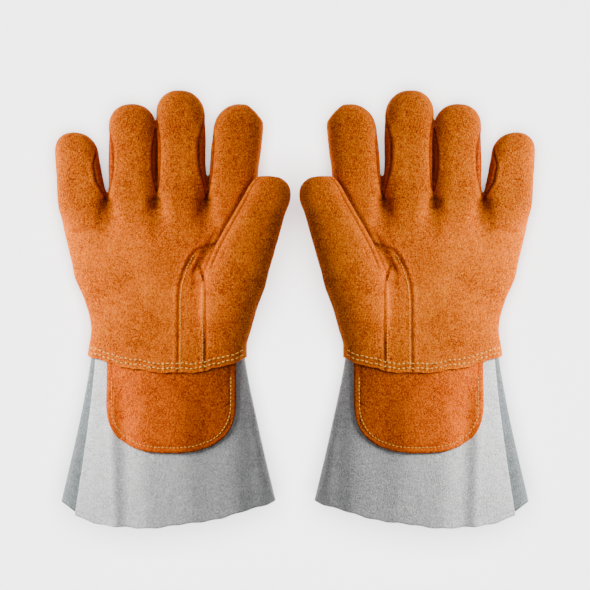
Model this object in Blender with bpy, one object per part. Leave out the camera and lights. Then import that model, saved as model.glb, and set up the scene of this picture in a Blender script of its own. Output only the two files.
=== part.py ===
"""A pair of welding gloves lying palm up: fingers to +Y, cuffs to -Y, backs on z = 0."""
import math

import bmesh
import bpy

MM = 0.001

# leather and gaps
LEATHER = 1.8
LINING = 1.2
PATCH = 1.8
GAP = 0.3
THREAD_RADIUS = 0.45
THREAD_LIFT = 0.8
PATCH_CLEARANCE = 0.55

# place of each glove in the pair
GLOVE_OFFSET = 100.8
CENTRE_SHIFT = 42.35

# hand, measured from the middle of the wrist; the panels share one set of rows
HEM_Y = -6.0
KNUCKLE_Y = 119.7
HEM_HALF = 65.0
WRIST_LITTLE_SIDE = 64.0
KNUCKLE_LITTLE_SIDE = 88.3
KNUCKLE_THUMB_SIDE = 71.0
THENAR_SIDE = 77.0
THENAR_RISE = 27.0
HAND_HALF_HEIGHT = 15.0
WRIST_HALF_HEIGHT = 17.0
FLAT_BACK = 1.5
HAND_ROWS = 7
STRIP_COLUMN = 7
ROUNDNESS = 0.8

# thumb
THUMB_Y = 73.0
THUMB_BASE_X = 51.5
THUMB_BASE_HALF = 25.5
THUMB_TIP_X = 87.5
THUMB_TIP_HALF = 15.5
THUMB_LENGTH = 73.5
THUMB_HALF_HEIGHT = 13.5
THUMB_BASE_Z = 44.6
THUMB_TIP_Z = 37.0
STRIP_LEFT = 7.6
STRIP_TOP_LEFT = 13.0
STRIP_RIGHT = 29.2
STRIP_TOP_RIGHT = 27.5

# fingers
FINGER_Y = 120.0
FINGER_HALF_HEIGHT = 14.0
WALL_ANGLE = 0.42

# cuff and patch
CUFF_LENGTH = 126.0
CUFF_LITTLE_CORNER = 86.0
CUFF_THUMB_CORNER = 85.0
CUFF_CORNER_RISE = 17.0
CUFF_MOUTH_HALF_HEIGHT = 25.0
GUSSET_TOP = 5.0
GUSSET_MOUTH = 11.0
PATCH_CENTRE = 2.2
PATCH_HALF_WIDTH = 51.8
PATCH_STRAIGHT_Y = -32.0
PATCH_END_Y = -73.5
STITCH_INSET = 4.0

ORANGE_SUEDE = ((0.70, 0.16, 0.022), 0.95)
ORANGE_SUEDE_DARK = ((0.42, 0.075, 0.010), 0.95)
GREY_SUEDE = ((0.46, 0.47, 0.48), 0.95)
GUSSET_SUEDE = ((0.31, 0.34, 0.36), 0.95)
CREAM_THREAD = ((0.82, 0.60, 0.28), 0.70)
COTTON_LINING = ((0.66, 0.62, 0.54), 0.98)


def clear_scene():
    for item in list(bpy.data.objects):
        bpy.data.objects.remove(item, do_unlink=True)


def make_material(name, look):
    colour, roughness = look
    material = bpy.data.materials.new(name + "_material")
    material.use_nodes = True
    shader = material.node_tree.nodes["Principled BSDF"]
    shader.inputs["Base Color"].default_value = (*colour, 1.0)
    shader.inputs["Roughness"].default_value = roughness
    shader.inputs["Metallic"].default_value = 0.0
    return material


def ease(stations, value):
    """A smooth curve through (place, size) stations."""
    if value <= stations[0][0]:
        return stations[0][1]
    for (low, start), (high, end) in zip(stations, stations[1:]):
        if value <= high:
            part = (value - low) / (high - low)
            return start + (end - start) * part * part * (3 - 2 * part)
    return stations[-1][1]


def power(value, exponent):
    return math.copysign(abs(value) ** exponent, value)


def steps(low, high, count):
    return [low + (high - low) * index / count for index in range(count + 1)]


def add_solid(glove, name, outer, inner, look, keep=None, wrap=False):
    """One closed body between two grids of points; keep(row, column) leaves cells out."""
    side = glove["side"]
    full_name = glove["name"] + "_" + name
    mesh = bpy.data.meshes.new(full_name)
    build = bmesh.new()
    made = {}

    def corner(layer, row, column):
        grid = outer if layer == 0 else inner
        x, y, z = grid[row][column]
        key = (round(x, 4), round(y, 4), round(z, 4))
        if key not in made:
            place = ((side * (x - GLOVE_OFFSET)) * MM, (y - CENTRE_SHIFT) * MM, z * MM)
            made[key] = build.verts.new(place)
        return made[key]

    def face(corners):
        single = []
        for vertex in corners:
            if vertex not in single:
                single.append(vertex)
        if len(single) < 3:
            return
        build.faces.new(single)

    rows = len(outer) - 1
    columns = len(outer[0]) - (0 if wrap else 1)

    def used(row, column):
        if wrap:
            column %= columns
        if row < 0 or row >= rows or column < 0 or column >= columns:
            return False
        return keep is None or keep(row, column)

    for row in range(rows):
        for column in range(columns):
            if not used(row, column):
                continue
            after = (column + 1) % len(outer[0])
            ring = ((row, column), (row, after), (row + 1, after), (row + 1, column))
            around = ((row - 1, column), (row, column + 1), (row + 1, column), (row, column - 1))
            face([corner(0, *place) for place in ring])
            face([corner(1, *place) for place in reversed(ring)])
            for index, beyond in enumerate(around):
                if used(*beyond):
                    continue
                start = ring[index]
                end = ring[(index + 1) % 4]
                face([corner(0, *end), corner(0, *start), corner(1, *start), corner(1, *end)])
    bmesh.ops.recalc_face_normals(build, faces=build.faces)
    build.to_mesh(mesh)
    build.free()
    mesh.materials.append(make_material(full_name, look))
    item = bpy.data.objects.new(full_name, mesh)
    bpy.context.scene.collection.objects.link(item)
    for polygon in mesh.polygons:
        polygon.use_smooth = True
    mesh.set_sharp_from_angle(angle=math.radians(40))
    return item


def add_thread(glove, name, path, look, radius=THREAD_RADIUS):
    """A square-section thread along a path of points that lie on the leather."""
    outer = []
    for index, (x, y, z) in enumerate(path):
        before = path[max(index - 1, 0)]
        after = path[min(index + 1, len(path) - 1)]
        along = math.atan2(after[1] - before[1], after[0] - before[0])
        across = (-math.sin(along) * radius, math.cos(along) * radius)
        low = z + THREAD_LIFT
        high = z + THREAD_LIFT + 2 * radius
        outer.append([
            (x + across[0], y + across[1], low),
            (x + across[0], y + across[1], high),
            (x - across[0], y - across[1], high),
            (x - across[0], y - across[1], low),
        ])
    top = [[ring[1], ring[2]] for ring in outer]
    base = [[ring[0], ring[3]] for ring in outer]
    return add_solid(glove, name, top, base, look)


# ---- the hand ----

def little_edge(y):
    return -ease(((HEM_Y, HEM_HALF), (24, WRIST_LITTLE_SIDE), (KNUCKLE_Y, KNUCKLE_LITTLE_SIDE)), y)


def thumb_edge(y):
    stations = (
        (HEM_Y, HEM_HALF),
        (THUMB_Y, THENAR_SIDE),
        (KNUCKLE_Y - 20, KNUCKLE_THUMB_SIDE),
    )
    return ease(stations, y)


def hand_half_height(y):
    return ease(((HEM_Y, WRIST_HALF_HEIGHT), (40, HAND_HALF_HEIGHT)), y)


def hand_point(share, y, depth, top):
    """A point of the hand: share runs -1 (little-finger side) to 1 (thumb side)."""
    left = little_edge(y)
    right = thumb_edge(y)
    half = (right - left) / 2
    height = hand_half_height(y)
    x = (left + right) / 2 + share * (half - depth)
    rise = (1 - abs(share) ** 2.5) ** 0.4
    if top:
        return (x, y, height + GAP / 2 + rise * (height - depth))
    low = height - GAP / 2 - rise * (height + FLAT_BACK - depth)
    return (x, y, max(low, depth))


def hand_share(x, y):
    left = little_edge(y)
    right = thumb_edge(y)
    return (2 * x - left - right) / (right - left)


def thenar_rise(x, y):
    """Extra height of the leather over the ball of the thumb."""
    along = ease(((HEM_Y + 8, 0.0), (THUMB_Y, 1.0)), y)
    reach = (x - THUMB_BASE_X) / (thumb_edge(y) - THUMB_BASE_X + 1.0)
    if x < THUMB_BASE_X:
        reach = (THUMB_BASE_X - x) / (THUMB_BASE_X - STRIP_LEFT)
        return THENAR_RISE * along * ease(((0.0, 1.0), (1.0, 0.0)), reach)
    return THENAR_RISE * along * max(1 - reach ** 2.5, 0.0) ** 0.5


def front_point(share, y, depth):
    x, _, z = hand_point(share, y, depth, True)
    outside_x = hand_point(share, y, 0.0, True)[0]
    return (x, y, z + thenar_rise(outside_x, y))


def strip_left(y):
    return ease(((45, STRIP_LEFT), (THUMB_Y, STRIP_TOP_LEFT)), y)


def strip_right(y):
    return ease(((50, STRIP_RIGHT), (THUMB_Y, STRIP_TOP_RIGHT)), y)


def front_panel(glove, name, left, right, columns, look):
    """A panel of the palm side, between two curves given as x for each y."""
    outer = []
    inner = []
    for y in steps(HEM_Y, THUMB_Y, HAND_ROWS):
        first = math.acos(left(y))
        last = math.acos(right(y))
        shares = [math.cos(angle) for angle in steps(first, last, columns)]
        outer.append([front_point(share, y, 0.0) for share in shares])
        inner.append([front_point(share, y, LEATHER) for share in shares])
    return add_solid(glove, name, outer, inner, look)


def palm_panel(glove):
    """The palm: left of the thumb strip, and right across above the thumb."""
    lower = steps(HEM_Y, THUMB_Y, HAND_ROWS) + [THUMB_Y + GAP]
    upper = steps(THUMB_Y + GAP, KNUCKLE_Y, 3)[1:]
    outer = []
    inner = []
    for y in lower + upper:
        turn = hand_share(strip_left(y) - GAP / 2, y)
        angles = steps(math.pi, math.acos(turn), STRIP_COLUMN)
        shares = [math.cos(angle) for angle in angles]
        shares += [math.cos(angle) for angle in steps(math.acos(turn), 0.0, 6)[1:]]
        shares[0] = -1.0
        outer.append([hand_point(share, y, 0.0, True) for share in shares])
        inner.append([hand_point(share, y, LEATHER, True) for share in shares])
    corner = len(lower) - 1
    keep = lambda row, column: column < STRIP_COLUMN or row >= corner
    return add_solid(glove, "palm_panel", outer, inner, ORANGE_SUEDE, keep=keep)


def back_panel(glove):
    outer = []
    inner = []
    for y in steps(HEM_Y, KNUCKLE_Y, 8):
        shares = [math.cos(angle) for angle in steps(0.0, math.pi, 12)]
        shares[0] = 1.0
        shares[-1] = -1.0
        outer.append([hand_point(share, y, 0.0, False) for share in shares])
        inner.append([hand_point(share, y, LEATHER, False) for share in shares])
    return add_solid(glove, "back_panel", outer, inner, ORANGE_SUEDE)


def hand_lining(glove):
    """A cotton tube inside the hand, open at both ends and under the thumb."""
    outer = []
    inner = []
    around = 24
    rows = [HEM_Y + 1, 14.0, 34.0, 53.0, THUMB_Y, 96.0, KNUCKLE_Y - 1]
    outside = LEATHER + 3 * GAP
    for y in rows:
        outer_ring = []
        inner_ring = []
        for index in range(around):
            angle = 2 * math.pi * index / around
            share = math.cos(angle)
            upper = math.sin(angle) >= 0
            outer_ring.append(hand_point(share, y, outside, upper))
            inner_ring.append(hand_point(share, y, outside + LINING, upper))
        outer.append(list(reversed(outer_ring)))
        inner.append(list(reversed(inner_ring)))
    first = around - 6
    keep = lambda row, column: not (1 <= row < 4 and first <= column < first + 5)
    return add_solid(glove, "hand_lining", outer, inner, COTTON_LINING, keep=keep, wrap=True)


def hem_thread(glove, name, height):
    path = []
    shares = [math.cos(angle) for angle in steps(math.pi * 0.93, math.pi * 0.07, 28)]
    for share in shares:
        path.append(front_point(share, height, 0.0))
    return add_thread(glove, name, path, CREAM_THREAD)


def strip_thread(glove):
    """One thread up the strip's palm-side seam, over its top and down the other."""
    low = HEM_Y + 14
    high = THUMB_Y - 3.5
    spots = [(strip_left(y) + 2.2, y) for y in steps(low, high, 8)]
    spots += [(x, high + 1.0) for x in steps(strip_left(high) + 4.5, strip_right(high) - 4.5, 2)]
    spots += [(strip_right(y) - 2.2, y) for y in steps(high, low, 8)]
    path = [front_point(hand_share(x, y), y, 0.0) for x, y in spots]
    return add_thread(glove, "strip_thread", path, CREAM_THREAD)


# ---- fingers and thumb ----

def round_tip_start(digit):
    return 1 - digit["tip_half"] * 1.05 / digit["length"]


def wall_narrowing(digit, part):
    """1 along the lower half of the finger, falling to 0 where its tip rounds off."""
    tip_start = round_tip_start(digit)
    return min(max((tip_start - part) / (tip_start / 2), 0.0), 1.0) ** 1.35


def digit_section(digit, part):
    """Middle x, middle z, half width and half height at part (0 base, 1 tip)."""
    x = digit["base_x"] + (digit["tip_x"] - digit["base_x"]) * part
    z = digit["base_z"] + (digit["tip_z"] - digit["base_z"]) * part
    narrowing = min(part / digit["taper"], 1.0)
    half = digit["base_half"] + (digit["tip_half"] - digit["base_half"]) * narrowing
    tip_start = round_tip_start(digit)
    squeeze = 1.0
    if part > tip_start:
        squeeze = math.sqrt(max(1 - ((part - tip_start) / (1 - tip_start)) ** 2, 0.0))
    return x, z, half * squeeze, digit["height"] * squeeze ** 0.7


def digit_point(digit, part, angle, depth):
    reach = part * (1 - depth / digit["length"])
    x, z, half, height = digit_section(digit, part)
    half = max(half - depth, 0.0)
    bottom = digit["flat"] and math.sin(angle) < 0
    tall = max(height + (FLAT_BACK if bottom else 0.0) * min(height / 5.0, 1.0) - depth, 0.0)
    place_x = x + power(math.cos(angle), ROUNDNESS) * half
    place_z = z + power(math.sin(angle), ROUNDNESS) * tall
    if bottom:
        place_z = max(place_z, depth)
    return (place_x, digit["y"] + digit["length"] * reach, place_z)


def digit_panel(glove, digit, name, top, look):
    """The palm-side or back half of a finger, running round its tip."""
    tip_start = round_tip_start(digit)
    parts = steps(0.0, tip_start, 4)
    parts += [tip_start + (1 - tip_start) * math.sin(turn) for turn in steps(0.0, math.pi / 2, 5)[1:]]
    outer = []
    inner = []
    shift = GAP / 2 if top else -GAP / 2
    for part in parts:
        wall = (WALL_ANGLE + 0.04) * wall_narrowing(digit, part)
        right = wall if digit["thumb_side_wall"] else 0.0
        left = wall if digit["little_side_wall"] else 0.0
        angles = steps(math.pi - left, right, 8)
        if not top:
            angles = [-angle for angle in steps(right, math.pi - left, 8)]
        rows = []
        for depth in (0.0, LEATHER):
            ring = []
            for angle in angles:
                x, y, z = digit_point(digit, part, angle, depth)
                ring.append((x, y, z + shift))
            rows.append(ring)
        if not top:
            rows[0] = [(x, y, max(z, 0.0)) for x, y, z in rows[0]]
        outer.append(rows[0])
        inner.append(rows[1])
    return add_solid(glove, digit["name"] + "_" + name, outer, inner, look)


def digit_wall(glove, digit, name, thumb_side):
    """A narrow strip of leather up the side of a finger."""
    outer = []
    inner = []
    tip_start = round_tip_start(digit)
    for part in steps(0.0, 0.75 * tip_start, 3) + [0.94 * tip_start]:
        half_angle = WALL_ANGLE * wall_narrowing(digit, part)
        angles = steps(half_angle, -half_angle, 3)
        if not thumb_side:
            angles = [math.pi - angle for angle in steps(-half_angle, half_angle, 3)]
        outer.append([digit_point(digit, part, angle, 0.0) for angle in angles])
        inner.append([digit_point(digit, part, angle, LEATHER) for angle in angles])
    return add_solid(glove, digit["name"] + "_" + name, outer, inner, ORANGE_SUEDE_DARK)


def finger(name, base_x, tip_x, base_half, tip_half, length, little_wall, thumb_wall):
    return {
        "name": name, "y": FINGER_Y, "base_x": base_x, "tip_x": tip_x,
        "base_z": FINGER_HALF_HEIGHT, "tip_z": FINGER_HALF_HEIGHT,
        "base_half": base_half, "tip_half": tip_half, "length": length,
        "height": FINGER_HALF_HEIGHT, "flat": True, "taper": 0.7,
        "little_side_wall": little_wall, "thumb_side_wall": thumb_wall,
    }


def digits():
    """The five digits; a wall stands on each side that faces a neighbour."""
    return [
        finger("little", -70.0, -76.0, 18.3, 16.5, 62.8, False, True),
        finger("ring", -31.0, -30.2, 19.0, 18.0, 85.6, True, True),
        finger("middle", 10.0, 8.6, 20.0, 18.6, 97.0, True, True),
        finger("index", 51.0, 56.0, 19.4, 19.0, 85.6, True, False),
        {
            "name": "thumb", "y": THUMB_Y + GAP, "base_x": THUMB_BASE_X, "tip_x": THUMB_TIP_X,
            "base_z": THUMB_BASE_Z, "tip_z": THUMB_TIP_Z,
            "base_half": THUMB_BASE_HALF, "tip_half": THUMB_TIP_HALF, "length": THUMB_LENGTH,
            "height": THUMB_HALF_HEIGHT, "flat": False, "taper": 0.85,
            "little_side_wall": False, "thumb_side_wall": False,
        },
    ]


def add_digit(glove, digit):
    look = ORANGE_SUEDE
    digit_panel(glove, digit, "front", True, look)
    digit_panel(glove, digit, "back", False, look)
    if digit["little_side_wall"]:
        digit_wall(glove, digit, "little_side_wall", False)
    if digit["thumb_side_wall"]:
        digit_wall(glove, digit, "thumb_side_wall", True)


# ---- the cuff ----

def cuff_end(x):
    """The cuff's lower edge: lowest left of the middle, rising to both corners."""
    middle = -CUFF_LITTLE_CORNER / 3
    span = (CUFF_LITTLE_CORNER + middle) if x < middle else (CUFF_THUMB_CORNER - middle)
    return HEM_Y - CUFF_LENGTH + CUFF_CORNER_RISE * min(((x - middle) / span) ** 2, 1.3)


def cuff_point(angle, part, depth):
    """A point of the cuff; angle 0 is the thumb side, 90 degrees the palm side."""
    top_x = HEM_HALF * math.cos(angle)
    left = HEM_HALF + (CUFF_LITTLE_CORNER - HEM_HALF) * part ** 1.2
    right = HEM_HALF + (CUFF_THUMB_CORNER - HEM_HALF) * part ** 1.2
    middle = (right - left) / 2
    half = (right + left) / 2 - depth
    height = WRIST_HALF_HEIGHT + (CUFF_MOUTH_HALF_HEIGHT - WRIST_HALF_HEIGHT) * part
    x = middle + power(math.cos(angle), ROUNDNESS) * half
    edge_x = middle + power(math.cos(angle), ROUNDNESS) * (half + depth)
    y = HEM_Y - GAP + (cuff_end(edge_x) - HEM_Y) * part
    if math.sin(angle) >= 0:
        return (x, y, height + power(math.sin(angle), ROUNDNESS) * (height - depth))
    low = height + power(math.sin(angle), ROUNDNESS) * (height + FLAT_BACK - depth)
    return (x, y, max(low, depth))


def gusset_angle(part):
    """Half the angle that the side strip takes of the cuff's section."""
    width = GUSSET_TOP + (GUSSET_MOUTH - GUSSET_TOP) * part
    half = HEM_HALF + (CUFF_LITTLE_CORNER - HEM_HALF) * part
    return math.acos((1 - width / half) ** (1 / ROUNDNESS))


def cuff_panel(glove, name, first, last, columns, look):
    outer = []
    inner = []
    for part in steps(1.0, 0.0, 6):
        angles = steps(first(part), last(part), columns)
        outer.append([cuff_point(angle, part, 0.0) for angle in angles])
        inner.append([cuff_point(angle, part, LEATHER) for angle in angles])
    return add_solid(glove, name, outer, inner, look)


def patch_end(share):
    curve = max(1 - abs(share) ** 2.6, 0.0) ** (1 / 2.6)
    return PATCH_STRAIGHT_Y + (PATCH_END_Y - PATCH_STRAIGHT_Y) * curve


def cuff_top(x, y):
    """Height of the cuff's palm side above the floor at x, y."""
    part = 0.5
    angle = math.pi / 2
    for _ in range(30):
        at_x, at_y, _ = cuff_point(angle, part, 0.0)
        part = min(max(part + (at_y - y) / CUFF_LENGTH, 0.0), 1.0)
        left = HEM_HALF + (CUFF_LITTLE_CORNER - HEM_HALF) * part ** 1.2
        right = HEM_HALF + (CUFF_THUMB_CORNER - HEM_HALF) * part ** 1.2
        share = (x - (right - left) / 2) / ((right + left) / 2)
        angle = math.acos(power(share, 1 / ROUNDNESS))
    return cuff_point(angle, part, 0.0)[2]


def wrist_patch(glove):
    outer = []
    inner = []
    top_y = HEM_Y - 2 * GAP
    for part in steps(1.0, 0.0, 7):
        outer_row = []
        inner_row = []
        for angle in steps(math.pi, 0.0, 14):
            share = math.cos(angle)
            x = PATCH_CENTRE + PATCH_HALF_WIDTH * share
            y = top_y + (patch_end(share) - top_y) * part
            z = cuff_top(x, y) + PATCH_CLEARANCE
            inner_row.append((x, y, z))
            outer_row.append((x, y, z + PATCH))
        outer.append(outer_row)
        inner.append(inner_row)
    return add_solid(glove, "wrist_patch", outer, inner, ORANGE_SUEDE_DARK)


def patch_thread(glove):
    path = []
    inset = 1 - STITCH_INSET / PATCH_HALF_WIDTH
    spots = [(-1.0, y) for y in steps(HEM_Y - 3, PATCH_STRAIGHT_Y, 4)]
    spots += [(math.cos(angle), None) for angle in steps(math.pi, 0.0, 16)[1:-1]]
    spots += [(1.0, y) for y in steps(PATCH_STRAIGHT_Y, HEM_Y - 3, 4)]
    for share, y in spots:
        x = PATCH_CENTRE + PATCH_HALF_WIDTH * share * inset
        if y is None:
            y = PATCH_STRAIGHT_Y + (patch_end(share) - PATCH_STRAIGHT_Y) * 0.9
        path.append((x, y, cuff_top(x, y) + PATCH_CLEARANCE + PATCH + 0.1))
    return add_thread(glove, "patch_thread", path, CREAM_THREAD)


def add_cuff(glove):
    margin = 0.012
    front_left = lambda part: math.pi - gusset_angle(part) - margin
    front_right = lambda part: margin / 2
    back_right = lambda part: -margin / 2
    back_left = lambda part: -math.pi + gusset_angle(part) + margin
    side_top = lambda part: math.pi - gusset_angle(part) + margin
    side_bottom = lambda part: math.pi + gusset_angle(part) - margin
    cuff_panel(glove, "cuff_front", front_left, front_right, 12, GREY_SUEDE)
    cuff_panel(glove, "cuff_back", back_right, back_left, 12, GREY_SUEDE)
    cuff_panel(glove, "cuff_gusset", side_bottom, side_top, 6, GUSSET_SUEDE)
    wrist_patch(glove)
    patch_thread(glove)


def add_hand(glove):
    palm_panel(glove)
    back_panel(glove)
    strip_low = lambda y: hand_share(strip_left(y) + GAP / 2, y)
    strip_high = lambda y: hand_share(strip_right(y) - GAP / 2, y)
    wing_low = lambda y: hand_share(strip_right(y) + GAP / 2, y)
    front_panel(glove, "thumb_strip", strip_low, strip_high, 4, ORANGE_SUEDE)
    front_panel(glove, "thenar_panel", wing_low, lambda y: 1.0, 8, ORANGE_SUEDE)
    hand_lining(glove)
    hem_thread(glove, "hem_thread_lower", HEM_Y + 2.0)
    hem_thread(glove, "hem_thread_upper", HEM_Y + 6.0)
    strip_thread(glove)


def add_glove(name, side):
    glove = {"name": name, "side": side}
    add_hand(glove)
    for digit in digits():
        add_digit(glove, digit)
    add_cuff(glove)


clear_scene()
add_glove("right", 1)
add_glove("left", -1)
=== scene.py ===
"""The finished look of a pair of suede welding gloves, lying palm up.

Lengths in this file are millimetres in one glove's own frame: the middle of the wrist is the origin,
+Y runs to the fingertips and +X to the thumb. place() turns them into metres for either glove.
"""
import math

import bmesh
import bpy
import numpy as np
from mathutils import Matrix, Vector, noise
from mathutils.bvhtree import BVHTree


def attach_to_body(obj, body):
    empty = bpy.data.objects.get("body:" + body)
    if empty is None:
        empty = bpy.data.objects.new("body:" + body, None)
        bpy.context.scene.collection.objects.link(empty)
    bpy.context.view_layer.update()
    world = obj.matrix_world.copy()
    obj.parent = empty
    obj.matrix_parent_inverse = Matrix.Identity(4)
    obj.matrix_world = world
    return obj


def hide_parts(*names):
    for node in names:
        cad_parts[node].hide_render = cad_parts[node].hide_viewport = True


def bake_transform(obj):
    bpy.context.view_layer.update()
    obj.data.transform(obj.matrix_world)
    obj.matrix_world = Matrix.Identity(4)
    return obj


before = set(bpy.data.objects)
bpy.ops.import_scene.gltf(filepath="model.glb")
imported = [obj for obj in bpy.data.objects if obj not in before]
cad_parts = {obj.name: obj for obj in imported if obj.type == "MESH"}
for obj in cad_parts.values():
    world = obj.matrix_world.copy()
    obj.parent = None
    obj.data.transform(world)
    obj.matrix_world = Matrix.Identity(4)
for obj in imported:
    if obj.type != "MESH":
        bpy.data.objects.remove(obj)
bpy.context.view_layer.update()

GLOVE_OFFSET = 100.8
CENTRE_SHIFT = 42.35
VOXEL = 1.15
RELAX_STEPS = 14
FAR_FROM_SEAM = 20.0

LEATHER = 2.0
CUFF_LEATHER = 1.6
GUSSET_LEATHER = 1.4
SKIN_DEPTH = 2.8

BODY_MIDDLE = 14.4
BODY_HIGH = 14.6
FINGER_MIDDLE = 14.2
FINGER_START = 118.0
FINGER_Y = 120.0
THUMB_Y = 73.0
HEM_LOW = -10.0
SIDE_SEAM_Z = 12.0
STRIP_TOP_Y = 91.5
THUMB_SEAM = 0.60
THUMB_LOWER_SEAM = 0.15

KEY_WATTS = 5.0
TOP_WATTS = 1.2
FLOOR_WATTS = 230.0
CUFF_WATTS = 4.0


# ---- helpers

def place(points, side):
    points = np.asarray(points, float)
    out = np.empty_like(points)
    out[:, 0] = (points[:, 0] - GLOVE_OFFSET) * side
    out[:, 1] = points[:, 1] - CENTRE_SHIFT
    out[:, 2] = points[:, 2]
    return out / 1000.0


def smooth(low, high, value):
    part = np.clip((np.asarray(value, float) - low) / (high - low), 0, 1)
    return part * part * (3 - 2 * part)


def curve(stations, value):
    """A smooth curve through (place, size) stations, for numbers or arrays."""
    places = [station[0] for station in stations]
    sizes = [station[1] for station in stations]
    value = np.asarray(value, float)
    fine = np.linspace(places[0], places[-1], 120)
    rough = np.interp(fine, places, sizes)
    for _ in range(3):
        padded = np.concatenate([[2 * rough[0] - rough[1]], rough, [2 * rough[-1] - rough[-2]]])
        rough = (padded[:-2] + 2 * padded[1:-1] + padded[2:]) / 4
    return np.interp(value, fine, rough)


def power(value, exponent):
    return np.sign(value) * np.abs(value) ** exponent


def bell(distance, width):
    return np.exp(-(distance / width) ** 2)


def ripple(points, wavelength, seed):
    """Smooth noise from -1 to 1, one value for each point."""
    shift = Vector((seed * 17.3, seed * -9.1, seed * 5.7))
    scale = 1.0 / wavelength
    return np.array([noise.noise(Vector(point) * scale + shift) for point in points])


def line_distance(points, path):
    """Distance in the XY plane from points to a polyline."""
    best = np.full(len(points), 1e9)
    flat = points[:, :2]
    for start, end in zip(path, path[1:]):
        start = np.array(start, float)
        run = np.array(end, float) - start
        part = np.clip(((flat - start) @ run) / (run @ run), 0, 1)
        best = np.minimum(best, np.linalg.norm(flat - (start + part[:, None] * run), axis=1))
    return best


class Shape:
    """A mesh in the glove's own frame, with values for the materials at each point."""

    def __init__(self, points, faces, seam=None, tone=None, normals=None):
        self.points = np.asarray(points, float).reshape(-1, 3)
        self.faces = faces
        count = len(self.points)
        self.seam = np.full(count, FAR_FROM_SEAM) if seam is None else np.asarray(seam, float)
        self.tone = np.zeros(count) if tone is None else np.asarray(tone, float)
        self.normals = normals

    def make(self, name, side, material):
        faces = self.faces if side > 0 else [face[::-1] for face in self.faces]
        mesh = mesh_of(place(self.points, side), faces, name)
        rest = mesh.attributes.new("rest", "FLOAT_VECTOR", "POINT")
        rest.data.foreach_set("vector", (self.points / 1000.0).astype(np.float32).ravel())
        for label, values in (("seam", self.seam), ("tone", self.tone)):
            layer = mesh.attributes.new(label, "FLOAT", "POINT")
            layer.data.foreach_set("value", values.astype(np.float32))
        mesh.polygons.foreach_set("use_smooth", [True] * len(mesh.polygons))
        if self.normals is not None:
            normals = self.normals.copy()
            normals[:, 0] *= side
            mesh.normals_split_custom_set_from_vertices(normals.tolist())
        mesh.materials.append(material)
        return linked(bpy.data.objects.new(name, mesh))


def joined(shapes):
    faces = []
    start = 0
    for shape in shapes:
        faces += [tuple(index + start for index in face) for face in shape.faces]
        start += len(shape.points)
    normals = None
    if all(shape.normals is not None for shape in shapes):
        normals = np.vstack([shape.normals for shape in shapes])
    seam = np.concatenate([shape.seam for shape in shapes])
    tone = np.concatenate([shape.tone for shape in shapes])
    return Shape(np.vstack([shape.points for shape in shapes]), faces, seam, tone, normals)


def quads(rows, count, start=0, closed=True):
    """Faces of a grid of points; a closed one joins the last of each row to the first."""
    faces = []
    for row in range(rows - 1):
        for index in range(count if closed else count - 1):
            a = start + row * count + index
            b = start + row * count + (index + 1) % count
            faces.append((a, b, b + count, a + count))
    return faces


def sheet_faces(rows, columns):
    """Faces of a sheet of leather: an outer grid, an inner grid and the cut edge between them."""
    size = rows * columns
    border = [row * columns for row in range(rows)]
    border += [(rows - 1) * columns + column for column in range(1, columns)]
    border += [row * columns + columns - 1 for row in range(rows - 2, -1, -1)]
    border += list(range(columns - 2, 0, -1))
    faces = [(a, d, c, b) for a, b, c, d in quads(rows, columns, 0, False)]
    faces += quads(rows, columns, size, False)
    for a, b in zip(border, border[1:] + border[:1]):
        faces.append((a, size + a, size + b, b))
    return faces


def picked(faces):
    """Some of a mesh's faces, numbered anew, and the points that they use."""
    used = sorted({index for face in faces for index in face})
    new = {old: fresh for fresh, old in enumerate(used)}
    return [tuple(new[index] for index in face) for face in faces], used


def mesh_of(points, faces, name):
    mesh = bpy.data.meshes.new(name)
    mesh.from_pydata(points.tolist(), [], faces)
    return mesh


def outward(shape):
    """The shape with all its faces turned outwards."""
    mesh = mesh_of(shape.points, shape.faces, "turn")
    build = bmesh.new()
    build.from_mesh(mesh)
    bmesh.ops.recalc_face_normals(build, faces=build.faces)
    build.to_mesh(mesh)
    build.free()
    shape.faces = [tuple(polygon.vertices) for polygon in mesh.polygons]
    bpy.data.meshes.remove(mesh)
    return shape


def along_across(points, centre, angle):
    """Distances along and across a line through a centre at an angle in the XY plane."""
    x = points[:, 0] - centre[0]
    y = points[:, 1] - centre[1]
    return x * math.cos(angle) + y * math.sin(angle), y * math.cos(angle) - x * math.sin(angle)


def points_of(mesh):
    points = np.empty(len(mesh.vertices) * 3)
    mesh.vertices.foreach_get("co", points)
    return points.reshape(-1, 3)


def linked(item):
    bpy.context.scene.collection.objects.link(item)
    return item


def vertex_normals(points, faces):
    normals = np.zeros_like(points)
    triangles = []
    for face in faces:
        for index in range(1, len(face) - 1):
            triangles.append((face[0], face[index], face[index + 1]))
    triangles = np.array(triangles)
    a, b, c = (points[triangles[:, k]] for k in range(3))
    area = np.cross(b - a, c - a)
    for k in range(3):
        np.add.at(normals, triangles[:, k], area)
    length = np.linalg.norm(normals, axis=1)
    return normals / np.maximum(length, 1e-9)[:, None]


# ---- materials

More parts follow.
